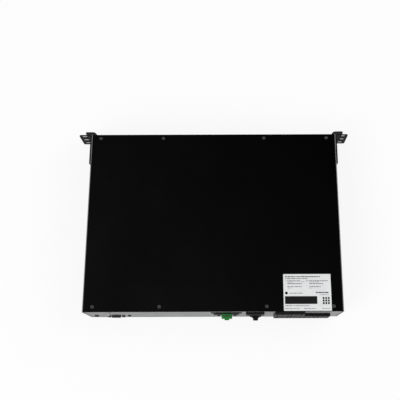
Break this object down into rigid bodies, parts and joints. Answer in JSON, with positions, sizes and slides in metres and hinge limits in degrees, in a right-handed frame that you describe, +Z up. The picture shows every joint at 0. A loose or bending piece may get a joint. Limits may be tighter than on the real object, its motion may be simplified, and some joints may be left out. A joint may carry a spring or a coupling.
{
  "type": "rack uninterruptible power supply",
  "caption": "Flat black rack-mounted power supply with battery back-up, slotted ears and a plated rear panel with outlets, inlet and connectors.",
  "frame": {"origin": "centre of the case's underside", "axes": "+X to the right seen from the front, -Y out of the front, +Y out of the rear, +Z up"},
  "size_m": [0.4826, 0.3493, 0.0882],
  "materials": {
    "cover_black": "fine matte powder coat",
    "bracket_black": "matte powder coat",
    "zinc_sheet": "zinc-plated sheet",
    "screw_black": "black oxide",
    "plated_steel": "bright zinc plating",
    "label_white": "semi-matte film",
    "moulded_black": "fine moulded texture",
    "button_black": "smooth moulding",
    "contact_brass": "plated",
    "terminal_green": "smooth moulding",
    "board_green": "solder mask",
    "window_smoke": "smoked and polished",
    "light_clear": "clear moulding",
    "display_grey": "display glass",
    "battery_grey": "moulded case",
    "pad_foam": "closed-cell foam",
    "core_iron": "varnished laminations",
    "winding_tape": "polyester tape",
    "aluminium_sink": "extruded",
    "capacitor_sleeve": "shrunk sleeve",
    "relay_case": "moulded case",
    "choke_copper": "enamelled wire",
    "lead_black": "insulation"
  },
  "bodies": {
    "case": {"top_cover": "cover_black", "base_tray": "zinc_sheet", "case_screws": "screw_black", "case_nuts": "plated_steel", "rear_panel": "zinc_sheet", "front_panel": "cover_black", "rack_bracket_left": "bracket_black", "rack_bracket_right": "bracket_black", "bracket_screws": "screw_black", "rating_label": "label_white", "mains_inlet": "moulded_black", "inlet_blades": "contact_brass", "breaker_body": "moulded_black", "breaker_nut": "moulded_black", "breaker_tabs": "contact_brass", "outlet_block_four": "moulded_black", "outlet_block_two": "moulded_black", "outlet_contacts": "contact_brass", "card_plate": "bracket_black", "card_cradle": "bracket_black", "card_screws": "screw_black", "card_board": "board_green", "terminal_header": "terminal_green", "terminal_plug": "terminal_green", "terminal_screws": "plated_steel", "interface_board": "board_green", "serial_shell": "screw_black", "serial_insert": "moulded_black", "jack_screws": "plated_steel", "push_switches": "moulded_black", "sensor_jack": "moulded_black", "ground_bolt": "plated_steel", "ground_washer": "plated_steel", "ground_nut": "plated_steel", "display_window": "window_smoke", "display_module": "display_grey", "display_board": "board_green", "status_lights": "light_clear", "battery_front": "battery_grey", "battery_rear": "battery_grey", "battery_pads": "pad_foam", "battery_tabs": "plated_steel", "battery_straps": "zinc_sheet", "transformer_core": "core_iron", "transformer_windings": "winding_tape", "transformer_clamp": "zinc_sheet", "main_board": "board_green", "board_standoffs": "plated_steel", "pan_screws": "plated_steel", "heatsinks": "aluminium_sink", "power_transistors": "moulded_black", "bulk_capacitors": "capacitor_sleeve", "board_relays": "relay_case", "filter_choke": "choke_copper", "fan_frame": "moulded_black", "inner_leads": "lead_black"},
    "breaker_button": {"breaker_button": "button_black"},
    "mute_button": {"mute_button": "button_black"},
    "power_button": {"power_button": "button_black"},
    "fan_rotor": {"fan_rotor": "moulded_black"}
  },
  "joints": [
    {"name": "breaker_button_press", "type": "slide", "parent": "case", "child": "breaker_button", "axis": [0, -1, 0], "range_m": [0, 0.003], "stiffness_N_per_m": 400},
    {"name": "mute_button_press", "type": "slide", "parent": "case", "child": "mute_button", "axis": [0, -1, 0], "range_m": [0, 0.001], "stiffness_N_per_m": 500},
    {"name": "power_button_press", "type": "slide", "parent": "case", "child": "power_button", "axis": [0, 1, 0], "range_m": [0, 0.0015], "stiffness_N_per_m": 500},
    {"name": "fan_spin", "type": "hinge", "parent": "case", "child": "fan_rotor", "pos_m": [0.1913, 0.105, 0.042], "axis": [1, 0, 0], "continuous": true}
  ]
}
